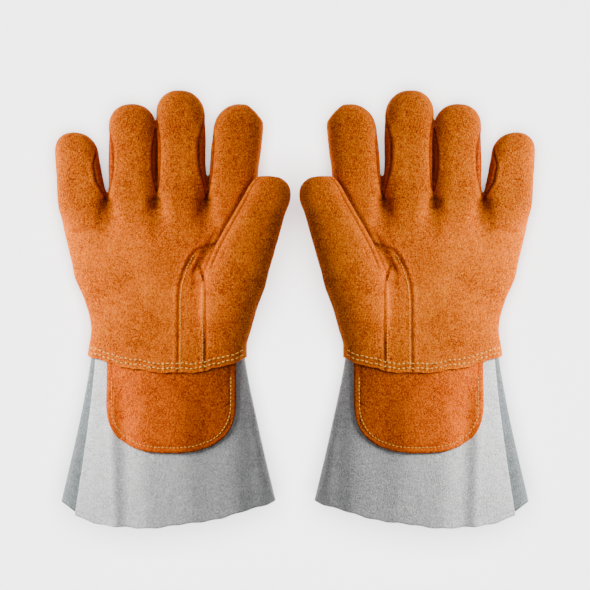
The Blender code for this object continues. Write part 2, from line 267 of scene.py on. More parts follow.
class Nodes:
    """A material under construction, with one short call for each kind of node."""

    def __init__(self, name):
        self.material = bpy.data.materials.new(name)
        self.material.use_nodes = True
        self.tree = self.material.node_tree
        self.shader = self.tree.nodes["Principled BSDF"]
        self.set("Specular IOR Level", 0.04)

    def set(self, name, value):
        """Give one of the shader's inputs a value, or another node's output."""
        self.fill(self.shader, {name: value})

    def fill(self, node, inputs):
        for name, value in inputs.items():
            if hasattr(value, "is_output"):
                self.tree.links.new(value, node.inputs[name])
            else:
                node.inputs[name].default_value = value

    def node(self, kind, output, inputs, **settings):
        """A new node with its settings and inputs; the answer is one of its outputs."""
        node = self.tree.nodes.new("ShaderNode" + kind)
        for name, value in settings.items():
            setattr(node, name, value)
        self.fill(node, inputs)
        return node.outputs[output]

    def attribute(self, name, output):
        return self.node("Attribute", output, {}, attribute_name=name)

    def noise(self, vector, scale, detail, roughness=0.55, distortion=0.0):
        return self.node("TexNoise", "Fac", {"Vector": vector, "Scale": scale, "Detail": detail,
                                             "Roughness": roughness, "Distortion": distortion})

    def stretch(self, vector, scale):
        return self.node("Mapping", "Vector", {"Vector": vector, "Scale": scale})

    def ramp(self, value, stops):
        node = self.tree.nodes.new("ShaderNodeValToRGB")
        while len(node.color_ramp.elements) < len(stops):
            node.color_ramp.elements.new(0.5)
        for element, (where, colour) in zip(node.color_ramp.elements, stops):
            element.position = where
            element.color = (*colour, 1.0)
        self.fill(node, {"Fac": value})
        return node.outputs["Color"]

    def range(self, value, low, high, start, end):
        return self.node("MapRange", "Result", {"Value": value, "From Min": low, "From Max": high,
                                                "To Min": start, "To Max": end})

    def mix(self, factor, first, second):
        inputs = {0: factor, 6: first, 7: (*second, 1.0)}
        return self.node("Mix", 2, inputs, data_type="RGBA", clamp_factor=True)

    def sums(self, operation, first, second):
        return self.node("Math", 0, {0: first, 1: second}, operation=operation)

    def scaled(self, colour, factor):
        return self.node("VectorMath", 0, {0: colour, "Scale": factor}, operation="SCALE")

    def bump(self, height, strength, distance):
        return self.node("Bump", "Normal", {"Height": height, "Strength": strength, "Distance": distance})


def suede(name, dark, middle, light, fleck, stain_and_groove_shade, sheen, contrast=1.0):
    """Napped split leather: cloudy colour, short fibres, pale and dark flecks, painted shade in the seam
    grooves, and painted light and shade from its tone attribute.
    """
    make = Nodes(name)
    rest = make.attribute("rest", "Vector")
    seam = make.attribute("seam", "Fac")
    # the tone attribute holds a random tone together with painted light and shade
    tone = make.attribute("tone", "Fac")
    clouds = make.noise(rest, 30.0, 3.0, 0.5)
    mottle = make.noise(rest, 190.0, 5.0, 0.6, 0.4)
    nap = make.noise(make.stretch(rest, (1.0, 0.75, 1.0)), 900.0, 4.0, 0.75, 0.4)
    fibre = make.noise(make.stretch(rest, (1.0, 0.5, 1.0)), 2300.0, 2.0, 0.6)
    value = make.sums("ADD", make.range(clouds, 0.3, 0.7, -0.10 * contrast, 0.10 * contrast),
                      make.range(mottle, 0.3, 0.7, 0.36, 0.58))
    nap_size = make.range(tone, -0.7, 0.1, 0.72 * contrast, 0.44 * contrast)
    value = make.sums("ADD", value, make.sums("MULTIPLY", make.range(nap, 0.32, 0.68, -1.0, 1.0), nap_size))
    value = make.sums("ADD", value, make.range(fibre, 0.32, 0.68, -0.30 * contrast, 0.30 * contrast))
    colour = make.ramp(value, ((0.02, dark), (0.46, middle), (0.95, light)))
    pale = make.range(nap, 0.57, 0.67, 0.0, 0.65)
    colour = make.mix(pale, colour, fleck)
    deep = make.range(make.noise(rest, 430.0, 3.0, 0.7), 0.34, 0.25, 0.0, 0.4)
    colour = make.mix(deep, colour, stain_and_groove_shade)
    # painted light and shade: the colour is scaled by two to the power of the tone attribute
    colour = make.scaled(colour, make.sums("POWER", 2.0, tone))
    # painted shade in the seam grooves: the stain colour mixed in close to each seam
    painted_groove_shade = make.range(seam, 0.0, 1.5, 0.70, 0.0)
    make.set("Base Color", make.mix(painted_groove_shade, colour, stain_and_groove_shade))
    make.set("Roughness", make.range(mottle, 0.3, 0.7, 0.86, 0.98))
    make.set("Sheen Weight", sheen)
    make.set("Sheen Roughness", 0.45)
    make.set("Sheen Tint", (*middle, 1.0))
    height = make.sums("ADD", make.sums("MULTIPLY", nap, 0.9), make.sums("MULTIPLY", fibre, 0.5))
    height = make.sums("ADD", height, make.sums("MULTIPLY", mottle, 0.8))
    make.set("Normal", make.bump(height, 0.9, 0.0016))
    return make.material


def thread_material():
    make = Nodes("cream_thread")
    rest = make.attribute("rest", "Vector")
    strands = make.noise(rest, 1400.0, 3.0, 0.6)
    wear = make.noise(rest, 90.0, 2.0, 0.5)
    stops = ((0.25, (0.62, 0.26, 0.02)), (0.5, (1.0, 0.52, 0.06)), (0.8, (1.0, 0.68, 0.18)))
    colour = make.ramp(strands, stops)
    make.set("Base Color", make.mix(make.range(wear, 0.35, 0.65, 0.0, 0.45), colour, (0.70, 0.36, 0.09)))
    make.set("Roughness", make.range(strands, 0.3, 0.7, 0.5, 0.75))
    make.set("Sheen Weight", 0.2)
    make.set("Normal", make.bump(strands, 0.6, 0.0003))
    return make.material


def cotton_material():
    make = Nodes("cotton_lining")
    rest = make.attribute("rest", "Vector")
    weave = make.node("TexWave", "Fac", {"Vector": rest, "Scale": 260.0, "Distortion": 2.5})
    threads = make.sums("MULTIPLY", weave, 0.4)
    fuzz = make.sums("MULTIPLY", make.noise(rest, 800.0, 3.0, 0.6), 0.6)
    value = make.sums("ADD", threads, fuzz)
    make.set("Base Color", make.ramp(value, ((0.2, (0.42, 0.38, 0.31)), (0.7, (0.74, 0.70, 0.61)))))
    make.set("Roughness", 0.95)
    make.set("Sheen Weight", 0.3)
    make.set("Normal", make.bump(value, 0.6, 0.0005))
    return make.material


def cut_edge_material():
    """The raw cut edge of split leather: fibrous and a little uneven."""
    make = Nodes("red_cut_edge")
    fibres = make.noise(make.attribute("rest", "Vector"), 900.0, 4.0, 0.7)
    make.set("Base Color", make.ramp(fibres, ((0.3, (0.30, 0.035, 0.003)), (0.7, (0.62, 0.10, 0.012)))))
    make.set("Roughness", 0.97)
    make.set("Normal", make.bump(fibres, 0.7, 0.0006))
    return make.material


def floor_material():
    make = Nodes("pale_floor")
    paper = make.noise(make.node("TexCoord", "Object", {}), 3.0, 2.0)
    make.set("Base Color", make.ramp(paper, ((0.3, (0.93, 0.93, 0.93)), (0.7, (0.95, 0.95, 0.95)))))
    make.set("Roughness", 0.9)
    return make.material


# each suede's fifth colour is its stain colour, which also paints the shade in its seam grooves
ORANGE = suede("orange_suede", (0.25, 0.024, 0.000), (0.74, 0.130, 0.000), (0.95, 0.240, 0.000),
               (1.0, 0.40, 0.015), (0.11, 0.008, 0.000), 0.015)
ORANGE_PATCH = suede("patch_suede", (0.20, 0.017, 0.000), (0.62, 0.090, 0.000), (0.86, 0.175, 0.000),
                     (0.94, 0.28, 0.010), (0.08, 0.005, 0.000), 0.02)
ORANGE_WALL = suede("wall_suede", (0.26, 0.022, 0.000), (0.56, 0.075, 0.001), (0.78, 0.15, 0.005),
                    (0.86, 0.24, 0.04), (0.11, 0.007, 0.000), 0.08)
GREY = suede("grey_suede", (0.23, 0.235, 0.24), (0.45, 0.455, 0.46), (0.68, 0.685, 0.69),
             (0.80, 0.80, 0.79), (0.17, 0.175, 0.18), 0.10, 0.8)
BLUE_GREY = suede("gusset_suede", (0.10, 0.115, 0.12), (0.205, 0.23, 0.24), (0.34, 0.365, 0.375),
                  (0.44, 0.46, 0.47), (0.07, 0.08, 0.085), 0.08, 0.8)
THREAD = thread_material()
COTTON = cotton_material()
CUT_EDGE = cut_edge_material()


# ---- the hand's form

def little_edge(y):
    return -curve(((-30, 68.5), (2, 66.5), (24, 63.0), (34, 64.0), (53, 70.5), (66, 76.5),
                   (91, 82.0), (117, 87.5), (130, 89.0)), y)


def thumb_edge(y):
    return curve(((-30, 63.5), (0, 62.0), (14, 62.5), (27, 65.0), (46, 70.0), (66, 74.0),
                  (90, 71.0), (110, 70.0), (130, 70.5)), y)


def hem_curve(x):
    """Height of the hem's lower edge across the wrist."""
    x = np.asarray(x, float)
    dip = np.where(x < 8, 13.5 * ((x - 8) / 73) ** 2, 12.5 * ((x - 8) / 55) ** 2)
    return HEM_LOW + dip + 0.5 * np.sin(x * 0.21) + 0.3 * np.sin(x * 0.55 + 1.0)


# each finger's centre line and half width as (y, x, half width), and its height at root and tip
FINGERS = {
    "little": {"line": ((104, -65.4, 16.2), (118, -68.9, 19.7), (130, -70.1, 19.9), (142, -71.8, 18.6),
                        (161, -74.2, 17.3), (183, -76.6, 16.8)), "high": (14.3, 13.2)},
    "ring": {"line": ((104, -30.2, 17.5), (118, -30.0, 20.2), (130, -30.0, 19.9), (142, -29.9, 18.9),
                      (168, -30.5, 19.0), (181, -30.2, 18.8), (205.4, -30.4, 18.5)), "high": (14.8, 13.8)},
    "middle": {"line": ((104, 10.0, 17.5), (118, 9.9, 20.2), (130, 9.9, 19.9), (142, 9.9, 19.1),
                        (155, 9.8, 19.3), (181, 9.5, 19.2), (216.8, 7.6, 18.9)), "high": (15.0, 14.0)},
    "index": {"line": ((104, 50.6, 17.5), (118, 50.6, 20.2), (130, 50.8, 19.9), (142, 51.1, 19.3),
                       (155, 51.7, 19.6), (168, 53.0, 19.9), (181, 54.8, 19.7), (205.4, 57.4, 19.2)),
              "high": (14.8, 13.9)},
}
# the thumb's middle line as (x, y, z, half width, half height)
THUMB_PATH = ((38, -4, 17, 20, 13), (43, 18, 19, 20.5, 15), (48, 44, 28, 22.5, 17), (53, 64, 38, 24.8, 16.5),
              (60, 84, 43.8, 23.2, 14.4), (68.5, 104, 44.0, 20.6, 13.6), (77.5, 125, 41.5, 17.6, 13.0))
THUMB_TIP = (86.5, 146.2, 38.5)
THUMB_TIP_SIZE = (15.0, 12.5)


def finger_centre(name, y):
    line = np.array(FINGERS[name]["line"])
    y = np.asarray(y, float)
    part = (y - FINGER_START) / (line[-1, 0] - FINGER_START)
    x = curve([(row[0], row[1]) for row in line], y)
    half = curve([(row[0], row[2]) for row in line], y)
    high = np.interp(part, (0, 1), FINGERS[name]["high"])
    return x, half, high, part


EAST = (1, 0, 0)
UP = (0, 0, 1)


def ring_points(centre, across, half, high, low, exponent=0.86, count=40):
    """Points round a rounded section that stands upright."""
    angles = np.arange(count) * 2 * math.pi / count
    side = power(np.cos(angles), exponent) * half
    lift = power(np.sin(angles), exponent) * np.where(np.sin(angles) >= 0, high, low)
    return np.array(centre) + side[:, None] * np.array(across) + lift[:, None] * np.array(UP)


def loft(rings):
    """A closed body through rings of points, with a fan at each end."""
    count = len(rings[0])
    points = np.vstack(rings + [rings[0].mean(0)[None], rings[-1].mean(0)[None]])
    faces = quads(len(rings), count)
    first = len(rings) * count
    last = (len(rings) - 1) * count
    for index in range(count):
        after = (index + 1) % count
        faces.append((first, after, index))
        faces.append((first + 1, last + index, last + after))
    return Shape(points, faces)


def hand_body():
    rings = []
    for y in np.linspace(-26, 122, 30):
        left = float(little_edge(y))
        right = float(thumb_edge(y))
        high = float(np.interp(y, (-26, 0, 30, 90, 112, 122), (17.5, 17.0, 15.0, 14.6, 13.6, 11.0)))
        middle = float(np.interp(y, (-26, 0, 40, 112, 122), (16.4, 16.4, 14.6, 14.4, 14.4)))
        centre = ((left + right) / 2, y, middle)
        rings.append(ring_points(centre, EAST, (right - left) / 2, high, middle, 0.80, 64))
    return loft(rings)


def finger_body(name):
    line = FINGERS[name]["line"]
    length = line[-1][0] - FINGER_START
    tip = 1 - line[-1][2] * 0.98 / length
    parts = list(np.linspace(-14.0 / length, tip, 12))
    parts += [tip + (1 - tip) * math.sin(turn) for turn in np.linspace(0, math.pi / 2, 12)[1:]]
    rings = []
    for part in parts:
        y = FINGER_START + length * part
        x, half, high, _ = finger_centre(name, y)
        squeeze = 1.0
        if part > tip:
            squeeze = math.sqrt(max(1 - ((part - tip) / (1 - tip)) ** 2.15, 1e-4))
        flatter = squeeze ** 0.75
        low = FINGER_MIDDLE * flatter * (0.55 + 0.45 * float(smooth(-14.0, 10.0, y - FINGER_START)))
        rings.append(ring_points((float(x), y, FINGER_MIDDLE), EAST,
                                 float(half) * squeeze ** 0.92, float(high) * flatter, low, 0.74))
    return loft(rings)


def thumb_body():
    path = np.array(THUMB_PATH)
    rings = []
    run = path[-1, :2] - path[-2, :2]
    run /= np.linalg.norm(run)
    for index, (x, y, z, half, high) in enumerate(path):
        before = path[max(index - 1, 0), :2]
        after = path[min(index + 1, len(path) - 1), :2]
        along = (after - before) / np.linalg.norm(after - before)
        rings.append(ring_points((x, y, z), (along[1], -along[0], 0), half, high, high, 0.86))
    start = path[-1]
    reach = np.linalg.norm(np.array(THUMB_TIP[:2]) - start[:2])
    for turn in np.linspace(0, math.pi / 2, 12)[1:]:
        part = math.sin(turn)
        squeeze = math.sqrt(max(1 - part ** 2.8, 1e-4))
        x, y = start[:2] + run * reach * part
        z = start[2] + (THUMB_TIP[2] - start[2]) * part
        rings.append(ring_points((x, y, z), (run[1], -run[0], 0), start[3] * squeeze ** 0.8,
                                 start[4] * squeeze ** 0.7, start[4] * squeeze ** 0.7, 0.80))
    return loft(rings)


def remeshed(shape):
    """One skin round overlapping bodies."""
    item = linked(bpy.data.objects.new("form", mesh_of(shape.points, shape.faces, "form")))
    remesh = item.modifiers.new("remesh", "REMESH")
    remesh.mode = "VOXEL"
    remesh.voxel_size = VOXEL
    relax = item.modifiers.new("relax", "SMOOTH")
    relax.factor = 0.5
    relax.iterations = RELAX_STEPS
    done = item.evaluated_get(bpy.context.evaluated_depsgraph_get()).to_mesh()
    points = points_of(done)
    faces = [tuple(polygon.vertices) for polygon in done.polygons]
    bpy.data.objects.remove(item, do_unlink=True)
    return Shape(points, faces)


def inner_skin(body, keep):
    """Leather just under the form, which closes a digit's root when the digit bends away."""
    normals = vertex_normals(body.points, body.faces)
    inside_out = ((body.points - body.points.mean(0)) * normals).sum() < 0
    if inside_out:
        normals = -normals
    points = body.points - normals * SKIN_DEPTH
    faces = [face[::-1] if inside_out else face for face in body.faces if keep(points[list(face)].mean(0))]
    faces, used = picked(faces)
    # the hidden skin is painted 0.7 doublings darker: painted shade inside the glove
    return Shape(points[used], faces, None, np.full(len(used), -0.7), normals[used])


def inner_skins():
    """The hidden skins by the name of the piece that each belongs to."""
    def under_thumb(spot):
        return spot[0] > 24 and 74 < spot[1] < 122 and spot[2] > 15

    skins = {
        "thumb_back": inner_skin(thumb_body(), lambda spot: spot[1] > 68),
        "palm_panel": inner_skin(hand_body(), under_thumb),
    }
    for name in FINGERS:
        reach = 150 if name == "index" else 138
        skins[name + "_back"] = inner_skin(finger_body(name), lambda spot: 112 < spot[1] < reach)
    return skins


# ---- seams

STRIP_LEFT = ((-14, 7.4), (48, 7.6), (60, 8.6), (72.8, 12.2), (82, 16.5), (88, 21.5), (91.5, 30.5))
STRIP_RIGHT = ((-14, 29.2), (52, 29.2), (62, 28.8), (70, 26.5), (76, 25.0))
STRIP_ARC = [(x, y) for y, x in STRIP_LEFT] + [(40, 93.5)]
STRIP_LINE = [(x, y) for y, x in STRIP_RIGHT]


def wall_height(name, part, thumb_side):
    """How far up the finger's side, from its middle, the seam of the side wall runs."""
    if (name, thumb_side) in (("little", False), ("index", True)):
        return np.zeros_like(part)
    wide = (name, thumb_side) in (("little", True), ("ring", False), ("middle", True))
    toward_root = 0.40 + 0.60 * smooth(0.06, 0.42, part)
    return (0.82 if wide else 0.62) * (1 - smooth(0.55, 0.97, part)) * toward_root


def thumb_section(points):
    """Where points lie across and above the thumb's own section, in its half sizes."""
    base = np.array(THUMB_PATH[3][:2], float)
    path = np.array(THUMB_PATH[3:] + ((*THUMB_TIP, *THUMB_TIP_SIZE),))
    axis = path[-1, :2] - base
    axis /= np.linalg.norm(axis)
    stations = (path[:, :2] - base) @ axis
    along = (points[:, :2] - base) @ axis
    aside = (points[:, 0] - base[0]) * axis[1] - (points[:, 1] - base[1]) * axis[0]
    height, half, high = (np.interp(along, stations, path[:, column]) for column in (2, 3, 4))
    return aside / half, (points[:, 2] - height) / high


def body_section(points):
    """How far points lie from the middle of the palm or the index finger; 1 on its surface."""
    y = points[:, 1]
    left, right = little_edge(y), thumb_edge(y)
    index_x, index_half, index_high, _ = finger_centre("index", y)
    on_finger = y > FINGER_Y
    middle = np.where(on_finger, index_x, (left + right) / 2)
    half = np.where(on_finger, index_half, (right - left) / 2)
    high = np.where(on_finger, index_high, BODY_HIGH)
    across = np.abs(points[:, 0] - middle) / half
    lift = np.abs(points[:, 2] - BODY_MIDDLE) / high
    return (across ** 2.6 + lift ** 2.6) ** (1 / 2.6)


def strip_edges(y):
    """The thumb strip's left and right edges at a height y."""
    return [np.interp(y, [at for at, _ in path], [x for _, x in path]) for path in (STRIP_LEFT, STRIP_RIGHT)]


def label_hand(points, hand, label, seam):
    x, y, z = points.T
    back = z < SIDE_SEAM_Z
    label[hand & back] = "back_panel"
    at_side = np.minimum(x - little_edge(y), thumb_edge(y) - x) < 12
    side_gap = np.where(at_side, np.abs(z - SIDE_SEAM_Z), FAR_FROM_SEAM)
    seam[hand] = np.minimum(seam[hand], side_gap[hand])
    x_left, x_right = strip_edges(y)
    front = hand & ~back
    label[front & (x > x_left) & (y < STRIP_TOP_Y) & ((x < x_right) | (y > THUMB_Y))] = "thumb_strip"
    label[front & (x >= x_right) & (y <= THUMB_Y)] = "thenar_panel"
    for path, zone in ((STRIP_ARC, front), (STRIP_LINE, front & (y < 78))):
        seam[zone] = np.minimum(seam, line_distance(points, path))[zone]


def label_thumb(across, lift, in_thumb, label, seam):
    angle = np.arctan2(lift, across)
    inner = math.pi - THUMB_SEAM
    upper = (angle > -THUMB_LOWER_SEAM) & (angle < inner)
    label[in_thumb & upper] = "thumb_front"
    label[in_thumb & ~upper] = "thumb_back"
    gap = np.minimum(np.abs(angle + THUMB_LOWER_SEAM), np.abs(angle - inner)) * 13.5
    seam[in_thumb] = np.minimum(gap, FAR_FROM_SEAM)[in_thumb]


def label_finger(name, points, mine, label, seam):
    x, half, high, part = finger_centre(name, points[:, 1])
    angle = np.arctan2((points[:, 2] - FINGER_MIDDLE) / high, np.abs(points[:, 0] - x) / half)
    thumb_side = points[:, 0] > x
    wall = np.where(thumb_side, wall_height(name, part, True), wall_height(name, part, False))
    wall = wall * (1 - smooth(0.80, 0.92, part))
    on_wall = mine & (np.abs(angle) < wall) & (wall > 0.02)
    label[mine & (angle >= wall)] = name + "_front"
    label[mine & (angle <= -wall)] = name + "_back"
    label[on_wall & thumb_side] = name + "_thumb_side_wall"
    label[on_wall & ~thumb_side] = name + "_little_side_wall"
    reach = np.hypot(points[:, 0] - x, points[:, 2] - FINGER_MIDDLE)
    gap = np.abs(np.abs(angle) - wall) * np.minimum(reach, 17.0)
    seam[mine] = np.minimum(gap, FAR_FROM_SEAM)[mine]


def regions(points):
    """The piece that each point belongs to, and how far it is from the nearest seam."""
    label = np.full(len(points), "palm_panel", dtype=object)
    seam = np.full(len(points), FAR_FROM_SEAM)
    x, y, z = points.T
    across, lift = thumb_section(points)
    nearer_thumb = np.hypot(across, lift) < body_section(points) - 0.02
    in_thumb = (y > THUMB_Y) & nearer_thumb & (z > 18.0) & (x > 14)
    finger_zone = (y > FINGER_Y) & ~in_thumb
    label_hand(points, ~finger_zone & ~in_thumb, label, seam)
    label_thumb(across, lift, in_thumb, label, seam)
    centres = np.array([finger_centre(name, y)[0] for name in FINGERS])
    nearest = np.argmin(np.abs(centres - x), axis=0)
    for index, name in enumerate(FINGERS):
        label_finger(name, points, finger_zone & (nearest == index), label, seam)
    return label, seam


THUMB_CREASE = ((27, 86), (38.7, 93.5), (49.0, 112), (60.5, 132), (67, 143))
# creases where the thumb leaves the palm, as (x, y, angle, painted shade, depth)
THUMB_FAN = ((18, 79, 1.0, 0.55, 1.9), (22.5, 76, 1.15, 0.75, 2.2), (26.5, 78, 1.1, 0.55, 1.8),
             (34, 96, 0.9, 0.3, 1.5), (20.5, 62, 1.5, 0.2, 0.9))
# soft folds across the palm and wrist, as (x, y, angle, depth, width, length)
PALM_FOLDS = ((-40, 60, 0.45, 0.7, 4.0, 26.0), (-20, 88, -0.2, 0.5, 4.0, 30.0),
              (-48, 24, 0.15, 0.6, 3.5, 22.0), (-30, 12, -0.1, 0.5, 3.0, 25.0),
              (48, 22, -0.25, 0.6, 3.2, 16.0), (52, 10, 0.1, 0.5, 3.0, 16.0))
# the bottom of each gap between the fingers, and how its fold leans
CROTCHES = ((-50.6, 127.0, 0.05), (-10.4, 128.0, -0.02), (30.4, 128.0, -0.10))


def form_height(points):
    """How far the leather stands in or out from the smooth form, in millimetres."""
    x, y, z = points.T
    height = 0.55 * ripple(points, 34.0, 1) + 0.30 * ripple(points, 15.0, 2) + 0.12 * ripple(points, 6.0, 3)
    top = smooth(10, 20, z)
    for index, (cx, cy, lean) in enumerate(CROTCHES):
        bend = cx + (cy - y) * lean + 1.2 * np.sin(y * 0.12 + index)
        depth = smooth(cy - 42, cy - 3, y) * (1 - smooth(cy, cy + 4, y)) * top
        height += (1.1 * bell(x - bend - 10, 6.0) - 2.4 * bell(x - bend, 5.5)) * depth
    for cx, cy, angle, _, size in THUMB_FAN:
        along, across = along_across(points, (cx, cy), angle)
        height -= size * bell(across, 1.8) * bell(along, 7.0) * top
    gap = line_distance(points, THUMB_CREASE)
    height -= 1.3 * bell(gap, 2.2) * smooth(14, 20, z) * (1 - smooth(36, 42, z))
    for cx, cy, angle, size, width, length in PALM_FOLDS:
        along, across = along_across(points, (cx, cy), angle)
        height -= size * bell(across, width) * bell(along, length) * top
    return height


def painted_crease_shade(points):
    """Painted shade in the creases beside the thumb and between the fingers."""
    x, y, z = points.T
    gap = line_distance(points, THUMB_CREASE)
    tone = -0.9 * bell(gap, 2.6) * (1 - smooth(34, 42, z))
    for cx, cy, _ in CROTCHES:
        tone -= 1.1 * bell(np.hypot((x - cx) * 1.7, (y - cy - 2.5) * 0.8), 2.8)
    for cx, cy, angle, size, _ in THUMB_FAN:
        along, across = along_across(points, (cx, cy), angle)
        tone -= size * bell(across, 1.2) * bell(along, 7.0) * smooth(10, 20, z)
    return tone


def hand_tone_and_shade(points, seam, hem_gap):
    """How much brighter or darker, in doublings, the leather is painted than its own colour: a random tone,
    painted light and shade, and lighter strips by the seams and the hem.
    """
    x, y = points[:, 0], points[:, 1]
    on_digit = smooth(100, 135, y)
    # a random tone, and painted shade on the palm that grows towards the thumb side
    tone = 0.09 * ripple(points, 45.0, 7) + 0.05 - 0.30 * smooth(-50, 80, x) * (1 - on_digit)
    # painted shade: the fingers darker than the palm, a little less so towards the index finger
    tone -= on_digit * (0.42 - 0.10 * smooth(-30, 60, x))
    # painted shade on the thumb side of the palm, below the thumb
    tone -= 0.45 * smooth(42, 72, x) * (1 - smooth(55, 85, y))
    # painted light on the thumb
    tone += 0.15 * smooth(50, 80, x) * smooth(75, 100, y)
    # lighter just beside the seams and just above the hem
    return tone + 0.20 * bell(seam - 3.4, 2.2) + 0.25 * bell(hem_gap, 2.0)


def seam_height(seam):
    """A sewn seam: a narrow groove with the leather rolled up beside it."""
    return -0.75 * bell(seam, 0.95) + 0.30 * bell(seam - 2.4, 1.3)


INDEX_SLANT = np.array((0.743, 0.669, 0.0))
INDEX_TIP = (68.8, 197.4, 0.0)
BLUNT_Y = 145.6


def hem_share(y):
    """How much of the hem's curve is felt at a height; none is left beyond the wrist."""
    return 1 - smooth(8, 40, y)


def cut_straight(points, faces):
    """Cut the form off at its hem, and across the roots of the digits."""
    mesh = mesh_of(points, faces, "cut")
    build = bmesh.new()
    build.from_mesh(mesh)
    for height in (0, THUMB_Y, FINGER_Y):
        everything = build.verts[:] + build.edges[:] + build.faces[:]
        bmesh.ops.bisect_plane(build, geom=everything, dist=0.02, plane_co=(0, height, 0),
                               plane_no=(0, 1, 0), clear_inner=height == 0)
    build.to_mesh(mesh)
    build.free()
    points = points_of(mesh)
    faces = [tuple(polygon.vertices) for polygon in mesh.polygons]
    bpy.data.meshes.remove(mesh)
    return points, faces


def hand_form():
    """The hand's points and faces, and each point's height above a hem drawn straight."""
    form = remeshed(joined([hand_body(), thumb_body()] + [finger_body(name) for name in FINGERS]))
    points = form.points
    # the index finger's tip is flattened on its thumb side
    beyond = points @ INDEX_SLANT - np.dot(INDEX_SLANT, INDEX_TIP)
    chosen = (beyond > 0) & (points[:, 0] > 40)
    points[chosen] -= 0.65 * beyond[chosen, None] * INDEX_SLANT
    # the thumb's tip is blunt
    beyond = np.maximum(points[:, 1] - BLUNT_Y, 0.0) * (points[:, 1] < 156) * (points[:, 0] > 56)
    points[:, 1] -= 0.75 * beyond * smooth(29, 34, points[:, 2])
    # the hem is straight while it is cut, and is then bent back by fixed-point steps
    points[:, 1] -= hem_curve(points[:, 0]) * hem_share(points[:, 1])
    points, faces = cut_straight(points, form.faces)
    straight = points[:, 1].copy()
    for _ in range(12):
        points[:, 1] = straight + hem_curve(points[:, 0]) * hem_share(points[:, 1])
    return points, faces, straight


def hem_edge(points, faces, normals, straight):
    """The hem's cut edge, and the inside of the leather above it."""
    edges = {}
    for face in faces:
        for start, end in zip(face, face[1:] + face[:1]):
            edges[(start, end)] = True
    rim = {start: end for start, end in edges if (end, start) not in edges and straight[start] < 0.5}
    order = [next(iter(rim))]
    while rim.get(order[-1]) is not None and rim[order[-1]] != order[0] and len(order) < len(rim) + 1:
        order.append(rim[order[-1]])
    border = points[order]
    normal = normals[order].copy()
    normal[:, 1] = 0
    normal /= np.maximum(np.linalg.norm(normal, axis=1), 1e-6)[:, None]
    rows = []
    steps = ((0, 0), (0.4, -0.35), (1.6, -0.35), (LEATHER, 0), (LEATHER + 0.6, 6.0), (LEATHER + 1.6, 11.0))
    for depth, rise in steps:
        rows.append(border - normal * depth + np.array((0, rise, 0)))
    hem_points = np.vstack(rows)
    hem_points[:, 2] = np.maximum(hem_points[:, 2], 0.0)
    return Shape(hem_points, quads(len(rows), len(order)))


def hand_pieces():
    """Every leather piece of the hand, its digits and its hem, as shapes by name."""
    points, faces, straight = hand_form()
    normals = vertex_normals(points, faces)
    _, seam = regions(points)
    folds = form_height(points)
    # painted shade in the hollows of the folds and creases, and painted highlight on their ridges
    painted_fold_shading = 0.22 * np.clip(folds, -3.0, 1.2) + painted_crease_shade(points)
    height = (folds + seam_height(seam)) * (smooth(0.0, 2.0, points[:, 2]) * 0.85 + 0.15)
    points = points + normals * height[:, None]
    points[:, 2] = np.maximum(points[:, 2], 0.0)
    normals = vertex_normals(points, faces)
    tone = hand_tone_and_shade(points, seam, np.maximum(straight, 0.0)) + painted_fold_shading
    label, _ = regions(np.array([points[list(face)].mean(0) for face in faces]))
    pieces = {}
    for name in sorted(set(label)):
        own, used = picked([face for face, owner in zip(faces, label) if owner == name])
        pieces[name] = Shape(points[used], own, seam[used], tone[used], normals[used])
    for name, skin in inner_skins().items():
        pieces[name] = joined([pieces[name], skin])
    pieces["hem_edge"] = hem_edge(points, faces, normals, straight)
    return pieces


# ---- the cuff

ROUNDING = 0.82
CUFF_TOP = -0.1


def cuff_edges(part):
    """How far the cuff reaches to the little-finger side and to the thumb side."""
    flare = np.clip(part, 0, 1.1) ** 1.15
    return 64.8 + (88.2 - 64.8) * flare, 60.5 + (85.3 - 60.5) * flare


def cuff_end(x):
    """Height of the cuff's mouth across its width."""
    arc = np.where(x < -29, -132 + 16 * ((x + 29) / 57) ** 2, -132 + 20 * ((x + 29) / 114) ** 2)
    return arc + 0.5 * np.sin(x * 0.13) + 0.35 * np.sin(x * 0.37 + 1)


def cuff_folds(x, part):
    fold = 1.9 * bell(x + 47 - 6 * part, 5.0) - 1.5 * bell(x + 36 - 5 * part, 6.5)
    fold += 0.9 * np.sin(x * 0.085 + 1.3 + part) + 0.5 * np.sin(x * 0.19 - part * 2.0)
    return fold - 1.0 * bell(x - 66, 6.0)


def cuff_surface(angle, part, depth):
    """Points of the cuff; part 0 is the hem line and 1 the mouth, angle 0 the thumb side."""
    left, right = cuff_edges(part)
    middle = (right - left) / 2
    half = (right + left) / 2
    across = power(np.cos(angle), ROUNDING)
    edge_x = middle + across * half
    high = np.interp(part, (0.0, 0.3, 1.0), (13.2, 17.0, 24.0))
    centre = np.interp(part, (0.0, 0.2, 1.0), (15.6, 17.0, 24.0))
    low = np.interp(part, (0.0, 0.2, 1.0), (12.9, 17.4, 25.2))
    top = hem_curve(edge_x)
    y = np.where(part < 0, top - part * 90.0, top + (cuff_end(edge_x) - top) * part)
    z = centre + power(np.sin(angle), ROUNDING) * (np.where(np.sin(angle) >= 0, high, low) - depth)
    z = z + smooth(-0.1, 0.5, np.sin(angle)) * smooth(0.0, 0.35, part) * cuff_folds(edge_x, part)
    on_floor = smooth(0.1, 0.7, -np.sin(angle)) > 0.5
    z = np.maximum(z, np.where(on_floor, depth, 0.0))
    return np.stack([middle + across * (half - depth), y, z], axis=-1)


